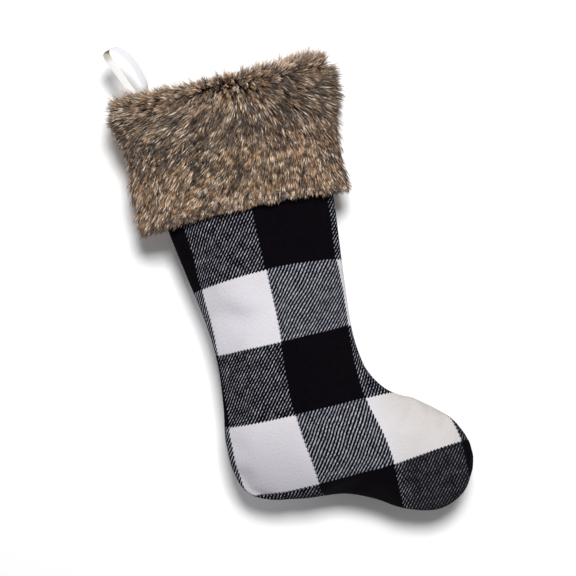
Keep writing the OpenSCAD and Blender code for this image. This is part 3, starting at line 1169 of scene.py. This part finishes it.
# The loop's height, half its width, how far its middle sways, how far it turns and its
# ribbon twists by TWIST_H above its root, how soon it opens there, how pointed it is and
# how high up it sways
LOOP_H = np.linalg.norm(ROOT) + RIBBON_T / 2
LOOP_SPREAD = 10.4
LOOP_SWAY = 3.5
LOOP_TWIST = math.radians(20)
FACE_TWIST = math.radians(50)
TWIST_H = 16.0
NECK_H = 1.5
LOOP_ROUNDNESS = 0.7
SWAY_POWER = 1.5

# The sewn tails lie face to face, and stop just short of the loop's root
HALF_STACK = RIBBON_T * 0.55
TAIL_L = 18.0
TAIL_GAP = 0.6

# How many rows of points each side of the loop and each tail have, and points across it
LOOP_ROWS = 41
TAIL_ROWS = 7
RIBBON_COLUMNS = 7


def loop_side(angles, side):
    """The centre line and the width direction of one side of the loop, from its root up."""
    h = LOOP_H * (1 - np.cos(angles)) / 2
    full = np.maximum(np.sin(angles), 0) ** LOOP_ROUNDNESS * h / (h + NECK_H)
    half = HALF_STACK + (LOOP_SPREAD - HALF_STACK) * full
    turn = LOOP_TWIST * smooth_step(h / TWIST_H)
    out = np.cos(turn)[:, None] * ACROSS - np.sin(turn)[:, None] * BACKWARD
    sway = LOOP_SWAY * np.sin(np.pi * (h / LOOP_H) ** SWAY_POWER)
    line = ROOT + h[:, None] * UP + (side * half + sway)[:, None] * out
    face = FACE_TWIST * smooth_step(h / TWIST_H)
    way = np.cos(face)[:, None] * BACKWARD + np.sin(face)[:, None] * ACROSS
    return line, way


def ribbon_line():
    """The whole ribbon's centre line and width direction, from one cut end to the other."""
    angles = np.linspace(0, np.pi, LOOP_ROWS)
    tail = -np.linspace(TAIL_L, TAIL_GAP, TAIL_ROWS)[:, None] * UP
    tail_way = np.tile(BACKWARD, (TAIL_ROWS, 1))
    up_line, up_way = loop_side(angles, -1)
    down_line, down_way = loop_side(angles[::-1][1:], 1)
    first_tail = ROOT + tail - HALF_STACK * ACROSS
    last_tail = (ROOT + tail + HALF_STACK * ACROSS)[::-1]
    line = np.concatenate([first_tail, up_line, down_line, last_tail])
    ways = np.concatenate([tail_way, up_way, down_way, tail_way])
    return line, ways


def make_ribbon():
    """One length of ribbon: a tail, up one side of the loop, down the other, and a tail."""
    # The last colour of each face is painted shade at the top of the loop
    satin = ribbon_look(
        "ribbon_satin", 0.34, linear(232, 232, 236), linear(204, 204, 209), linear(226, 226, 231),
    )
    dull = ribbon_look(
        "ribbon_back", 0.6, linear(231, 230, 228), linear(203, 201, 197), linear(182, 179, 164),
    )
    line, ways = ribbon_line()
    across = np.linspace(-1, 1, RIBBON_COLUMNS)
    cup = RIBBON_CUP * (1 - across**2)
    ahead = unit(np.gradient(line, axis=0))
    face = unit(np.cross(ahead, ways))
    points = (
        line[:, None, :] + ways[:, None, :] * across[None, :, None] * RIBBON_W / 2
        + face[:, None, :] * cup[None, :, None]
    )
    step = np.linalg.norm(np.diff(line, axis=0), axis=1)
    along = np.concatenate([[0], np.cumsum(step)])
    flat = np.stack(np.broadcast_arrays(along[:, None], across[None, :] * RIBBON_W / 2), axis=2)
    ribbon = new_object(
        "ribbon", points, [grid_quads(*points.shape[:2])], satin, flat.reshape(-1, 2) * MM
    )
    ribbon.data.materials.append(dull)
    thicken(ribbon, RIBBON_DRAWN_T, offset=0)
    ribbon.modifiers["thickness"].material_offset = 1
    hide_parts("ribbon_loop", "ribbon_tails")
    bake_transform(ribbon)


def dress_cad_nodes():
    """Threads and stitches keep their CAD shapes, and get their own materials."""
    dark = thread_look("dark_thread", linear(12, 12, 14), linear(40, 40, 46))
    brown = thread_look("brown_thread", linear(50, 38, 28), linear(92, 74, 58))
    white = thread_look("white_thread", linear(190, 190, 192), linear(236, 236, 238))
    looks = {
        "panel_seam": dark,
        "lining_seam": dark,
        "cuff_seam_heel_side": brown,
        "cuff_seam_toe_side": brown,
        "mouth_seam": brown,
        "loop_tack": white,
    }
    for name, look in looks.items():
        mesh = frame["nodes"][name].data
        mesh.materials.clear()
        mesh.materials.append(look)


# ---- The scene ----

# What the camera looks at and how wide its view is there, in millimetres, and how far it is
# turned, its focal length and its sensor
VIEW_CENTRE = np.array([127.75, 0.0, -285.25])
VIEW_WIDTH = 604.8
VIEW_ROLL = math.radians(13)
LENS = 100.0
SENSOR = 36.0

# The stage in metres: the wall's place, the floor's height and how far both reach. The
# lights face the middle of the stocking.
WALL_Y = 0.052
FLOOR_Z = -0.70
STAGE_REACH = 4.0
LIT_POINT = (0.13, 0.0, -0.3)
STAGE_WHITE = (0.96, 0.96, 0.96, 1)
SKY_STRENGTH = 0.24


def make_camera():
    """The camera looks straight at the front, turned so that the stocking leans left."""
    data = bpy.data.cameras.new("camera")
    data.lens = LENS
    data.sensor_width = SENSOR
    camera = in_scene("camera", data)
    away = VIEW_WIDTH * LENS / SENSOR
    c = math.cos(VIEW_ROLL)
    s = math.sin(VIEW_ROLL)
    turn = Matrix(((c, s, 0), (0, 0, -1), (-s, c, 0))).to_4x4()
    middle = VIEW_CENTRE - np.array([0, away, 0])
    camera.matrix_world = Matrix.Translation((middle * MM).tolist()) @ turn
    bpy.context.scene.camera = camera


def add_light(name, position, size, power):
    """A soft square light that faces the stocking."""
    data = bpy.data.lights.new(name, "AREA")
    data.size = size
    data.energy = power
    light = in_scene(name, data)
    away = Vector(position) - Vector(LIT_POINT)
    light.location = position
    light.rotation_euler = away.to_track_quat("Z", "Y").to_euler()


def stage_look():
    """Plain white that is clear from behind, so that the wall doesn't hide the back."""
    look, tree, shader = new_material("stage_white", 0.9)
    shader.inputs["Base Color"].default_value = STAGE_WHITE
    behind = tree.nodes.new("ShaderNodeNewGeometry").outputs["Backfacing"]
    clear = tree.nodes.new("ShaderNodeBsdfTransparent")
    mix = tree.nodes.new("ShaderNodeMixShader")
    tree.links.new(behind, mix.inputs[0])
    tree.links.new(shader.outputs[0], mix.inputs[1])
    tree.links.new(clear.outputs[0], mix.inputs[2])
    tree.links.new(mix.outputs[0], tree.nodes["Material Output"].inputs["Surface"])
    return look


def make_stage():
    """A white wall just behind the stocking, and a pale floor.

    The wall takes the stocking's shadow, but it neither shades nor brightens the stocking.
    """
    look = stage_look()
    far = STAGE_REACH
    wall_corners = np.array([
        [-far, WALL_Y, FLOOR_Z], [far, WALL_Y, FLOOR_Z], [far, WALL_Y, far], [-far, WALL_Y, far],
    ])
    floor_corners = np.array([
        [-far, -far, FLOOR_Z], [far, -far, FLOOR_Z], [far, far, FLOOR_Z], [-far, far, FLOOR_Z],
    ])
    face = np.array([[0, 1, 2, 3]])
    wall = new_object("wall", wall_corners / MM, [face], look)
    floor = new_object("floor", floor_corners / MM, [face], look)
    wall.visible_diffuse = False
    wall.visible_shadow = False
    floor.visible_diffuse = False


def make_light():
    """Soft light from the upper right in front and the upper left behind, and a pale sky."""
    add_light("key", (0.52, -2.4, 0.65), 0.7, 73)
    add_light("back", (-0.5, 2.4, 0.8), 1.4, 72)
    world = bpy.data.worlds.new("studio")
    world.use_nodes = True
    background = world.node_tree.nodes["Background"]
    background.inputs["Color"].default_value = (1, 1, 1, 1)
    background.inputs["Strength"].default_value = SKY_STRENGTH
    bpy.context.scene.world = world
    bpy.context.scene.view_settings.view_transform = "Standard"


make_camera()
make_stage()
make_light()
make_bag()
make_cuff()
make_ribbon()
dress_cad_nodes()
